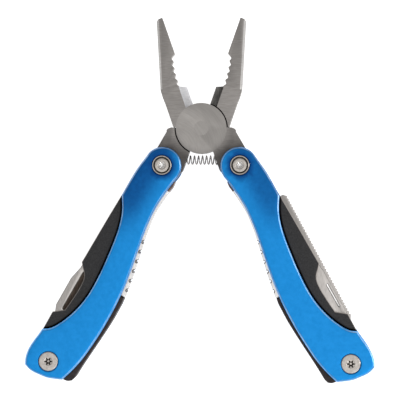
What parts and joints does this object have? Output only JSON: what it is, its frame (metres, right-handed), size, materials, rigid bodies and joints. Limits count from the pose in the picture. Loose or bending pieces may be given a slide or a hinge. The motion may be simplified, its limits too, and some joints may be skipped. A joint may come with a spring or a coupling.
{
  "type": "folding multi-tool pliers",
  "caption": "Folding multi-tool: spring-opened needle-nose pliers with wire cutters, whose two channel handles fold over the jaws and hold knives, a saw, a file, drivers and a can opener.",
  "frame": {"origin": "bottom centre of the open tool's box, as it lies on the backs of its handles", "axes": "+Z out of the tool's front, which is the side with the screw heads; +Y from the handles to the jaw tips; +X to the right seen from the front"},
  "size_m": [0.1354, 0.1422, 0.018],
  "materials": {
    "ground_steel": "ground stainless steel with fine cross scratches",
    "blade_steel": "satin stainless steel",
    "fastener_steel": "turned bright steel",
    "spring_steel": "bright spring steel",
    "blue_anodised": "satin blue anodised aluminium",
    "black_steel": "matt black coated steel",
    "black_plastic": "moulded black nylon"
  },
  "bodies": {
    "plier_front": {"plier_half_front": "ground_steel", "plier_pivot_pin": "ground_steel", "jaw_spring": "spring_steel"},
    "plier_rear": {"plier_half_rear": "ground_steel"},
    "left_handle": {"left_front_scale": "blue_anodised", "left_rear_scale": "blue_anodised", "left_front_liner": "black_steel", "left_rear_liner": "black_steel", "left_back_spring": "spring_steel", "left_end_spacer": "black_plastic", "left_pivot_screw": "fastener_steel", "left_pivot_barrel": "fastener_steel", "left_axle_screw": "fastener_steel", "left_axle_barrel": "fastener_steel", "left_spring_pin": "fastener_steel", "left_spacer_pin": "fastener_steel", "left_front_washer": "fastener_steel", "left_rear_washer": "fastener_steel", "left_tool_spacer_1": "fastener_steel", "left_tool_spacer_2": "fastener_steel", "left_tool_spacer_3": "fastener_steel"},
    "right_handle": {"right_front_scale": "blue_anodised", "right_rear_scale": "blue_anodised", "right_front_liner": "black_steel", "right_rear_liner": "black_steel", "right_back_spring": "spring_steel", "right_end_spacer": "black_plastic", "right_pivot_screw": "fastener_steel", "right_pivot_barrel": "fastener_steel", "right_axle_screw": "fastener_steel", "right_axle_barrel": "fastener_steel", "right_spring_pin": "fastener_steel", "right_spacer_pin": "fastener_steel", "right_front_washer": "fastener_steel", "right_rear_washer": "fastener_steel", "right_tool_spacer_1": "fastener_steel", "right_tool_spacer_2": "fastener_steel", "right_tool_spacer_3": "fastener_steel"},
    "knife": {"knife": "blade_steel"},
    "phillips_driver": {"phillips_driver": "blade_steel"},
    "can_opener": {"can_opener": "blade_steel"},
    "file": {"file": "blade_steel"},
    "serrated_knife": {"serrated_knife": "blade_steel"},
    "large_flat_driver": {"large_flat_driver": "blade_steel"},
    "small_flat_driver": {"small_flat_driver": "blade_steel"},
    "saw": {"saw": "blade_steel"}
  },
  "joints": [
    {"name": "jaw_pivot", "type": "hinge", "parent": "plier_front", "child": "plier_rear", "pos_m": [0.00061, 0.02789, 0.0089], "axis": [0, 0, 1], "range_deg": [0, 38.2], "stiffness_Nm_per_rad": 0.03, "springref_deg": -17.19, "deforming": ["jaw_spring"]},
    {"name": "right_handle_fold", "type": "hinge", "parent": "plier_front", "child": "right_handle", "pos_m": [0.01571, 0.01349, 0.0089], "axis": [0, 0, 1], "range_deg": [0, 145]},
    {"name": "left_handle_fold", "type": "hinge", "parent": "plier_rear", "child": "left_handle", "pos_m": [-0.01448, 0.01349, 0.0089], "axis": [0, 0, -1], "range_deg": [0, 145]},
    {"name": "serrated_knife_fold", "type": "hinge", "parent": "right_handle", "child": "serrated_knife", "pos_m": [0.05864, -0.06333, 0.0089], "axis": [0, 0, -1], "range_deg": [0, 180]},
    {"name": "large_flat_driver_fold", "type": "hinge", "parent": "right_handle", "child": "large_flat_driver", "pos_m": [0.05864, -0.06333, 0.0089], "axis": [0, 0, -1], "range_deg": [0, 180]},
    {"name": "small_flat_driver_fold", "type": "hinge", "parent": "right_handle", "child": "small_flat_driver", "pos_m": [0.05864, -0.06333, 0.0089], "axis": [0, 0, -1], "range_deg": [0, 180]},
    {"name": "saw_fold", "type": "hinge", "parent": "right_handle", "child": "saw", "pos_m": [0.05864, -0.06333, 0.0089], "axis": [0, 0, -1], "range_deg": [0, 180]},
    {"name": "knife_fold", "type": "hinge", "parent": "left_handle", "child": "knife", "pos_m": [-0.05862, -0.06264, 0.0089], "axis": [0, 0, 1], "range_deg": [0, 180]},
    {"name": "phillips_driver_fold", "type": "hinge", "parent": "left_handle", "child": "phillips_driver", "pos_m": [-0.05862, -0.06264, 0.0089], "axis": [0, 0, 1], "range_deg": [0, 180]},
    {"name": "can_opener_fold", "type": "hinge", "parent": "left_handle", "child": "can_opener", "pos_m": [-0.05862, -0.06264, 0.0089], "axis": [0, 0, 1], "range_deg": [0, 180]},
    {"name": "file_fold", "type": "hinge", "parent": "left_handle", "child": "file", "pos_m": [-0.05862, -0.06264, 0.0089], "axis": [0, 0, 1], "range_deg": [0, 180]}
  ]
}
